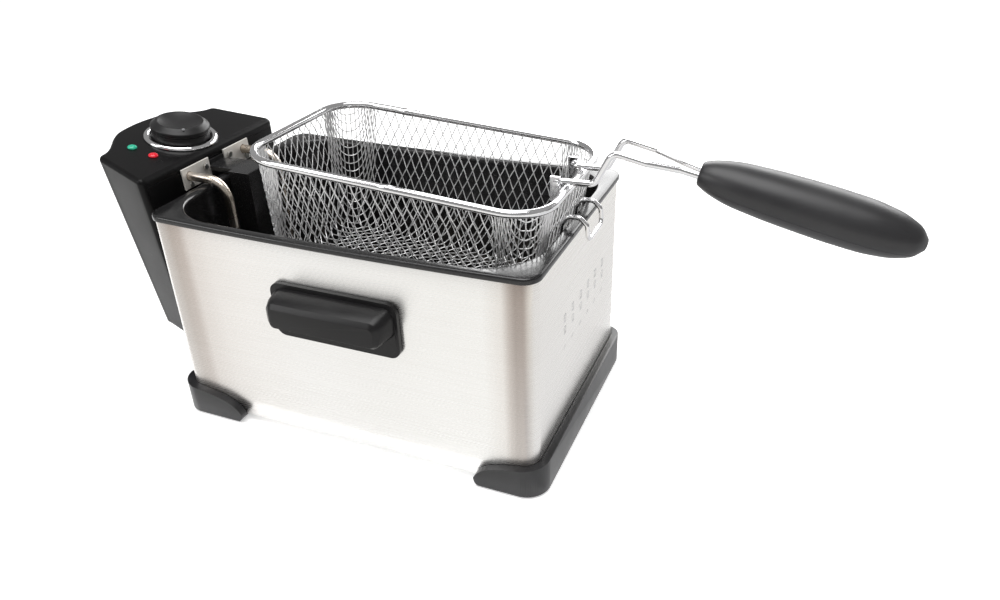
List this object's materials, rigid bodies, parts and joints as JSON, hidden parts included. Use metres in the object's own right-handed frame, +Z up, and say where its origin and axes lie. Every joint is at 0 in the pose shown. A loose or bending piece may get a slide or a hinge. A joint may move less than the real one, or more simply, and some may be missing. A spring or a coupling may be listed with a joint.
{
  "type": "deep fryer",
  "caption": "Electric deep fryer: steel housing, lift-out enamelled tank, lift-off control head with heating element, and a wire basket with a folding handle.",
  "frame": {"origin": "middle of the footprint of the whole object, basket handle included, on the table", "axes": "+X towards the basket handle's end, -X towards the control head, -Y towards the side handle that faces the viewer, +Z up"},
  "size_m": [0.5451, 0.211, 0.2052],
  "materials": {
    "brushed_steel": "satin",
    "zinc_steel": "plated",
    "grey_plastic": "satin",
    "black_plastic": "satin",
    "grip_plastic": "satin",
    "enamel": "glossy vitreous enamel on steel",
    "chrome": "polished",
    "mesh_wire": "polished wire mesh",
    "green_lens": "gloss",
    "red_lens": "gloss",
    "cream_plastic": "matt",
    "rubber": "matt",
    "element_steel": "heat-tinted satin",
    "copper": "plain",
    "red_plastic": "satin"
  },
  "bodies": {
    "housing": {"housing_shell": "brushed_steel", "base_plate": "zinc_steel", "base_end_right": "grey_plastic", "base_end_left": "grey_plastic", "foot_pad_front_right": "rubber", "foot_pad_front_left": "rubber", "foot_pad_rear_right": "rubber", "foot_pad_rear_left": "rubber", "base_screw_front_right": "zinc_steel", "base_screw_front_left": "zinc_steel", "base_screw_rear_right": "zinc_steel", "base_screw_rear_left": "zinc_steel", "handle_front": "black_plastic", "handle_rear": "black_plastic", "handle_screw_front_1": "zinc_steel", "handle_screw_front_2": "zinc_steel", "handle_screw_rear_1": "zinc_steel", "handle_screw_rear_2": "zinc_steel", "head_rail": "zinc_steel", "rail_screw_1": "zinc_steel", "rail_screw_2": "zinc_steel"},
    "tank": {"tank": "enamel"},
    "control_head": {"head_shell": "black_plastic", "head_cover": "black_plastic", "dial_ring": "chrome", "lamp_green": "green_lens", "lamp_red": "red_lens", "thermostat": "zinc_steel", "safety_limiter": "zinc_steel", "microswitch": "black_plastic", "terminal_block": "cream_plastic", "cord_gland": "rubber", "element_plate_front": "element_steel", "element_plate_rear": "element_steel", "plate_screw_front_1": "zinc_steel", "plate_screw_front_2": "zinc_steel", "plate_screw_rear_1": "zinc_steel", "plate_screw_rear_2": "zinc_steel", "heating_element": "element_steel", "probe_guard": "enamel", "thermostat_probe": "copper", "limiter_probe": "copper"},
    "knob": {"knob": "black_plastic", "thermostat_spindle": "zinc_steel"},
    "reset_button": {"reset_button": "red_plastic"},
    "basket": {"basket_rim": "chrome", "basket_mesh": "mesh_wire", "basket_hook": "chrome", "handle_bracket": "chrome"},
    "basket_handle": {"handle_wire": "chrome", "grip_upper": "grip_plastic", "grip_lower": "grip_plastic", "grip_screw": "zinc_steel"}
  },
  "joints": [
    {"name": "tank_lift", "type": "slide", "parent": "housing", "child": "tank", "axis": [0, 0, 1], "range_m": [0, 0.14]},
    {"name": "head_lift", "type": "slide", "parent": "tank", "child": "control_head", "axis": [0, 0, 1], "range_m": [0, 0.13]},
    {"name": "knob_turn", "type": "hinge", "parent": "control_head", "child": "knob", "pos_m": [-0.2322, 0, 0.17513], "axis": [-0.1819, 0, -0.9833], "range_deg": [0, 270]},
    {"name": "reset_press", "type": "slide", "parent": "control_head", "child": "reset_button", "axis": [1, 0, 0], "range_m": [0, 0.0015], "stiffness_N_per_m": 400},
    {"name": "basket_lift", "type": "slide", "parent": "control_head", "child": "basket", "axis": [0, 0, 1], "range_m": [0, 0.1]},
    {"name": "handle_fold", "type": "hinge", "parent": "basket", "child": "basket_handle", "pos_m": [0.068, 0, 0.1834], "axis": [0, -1, 0], "range_deg": [0, 165]}
  ]
}
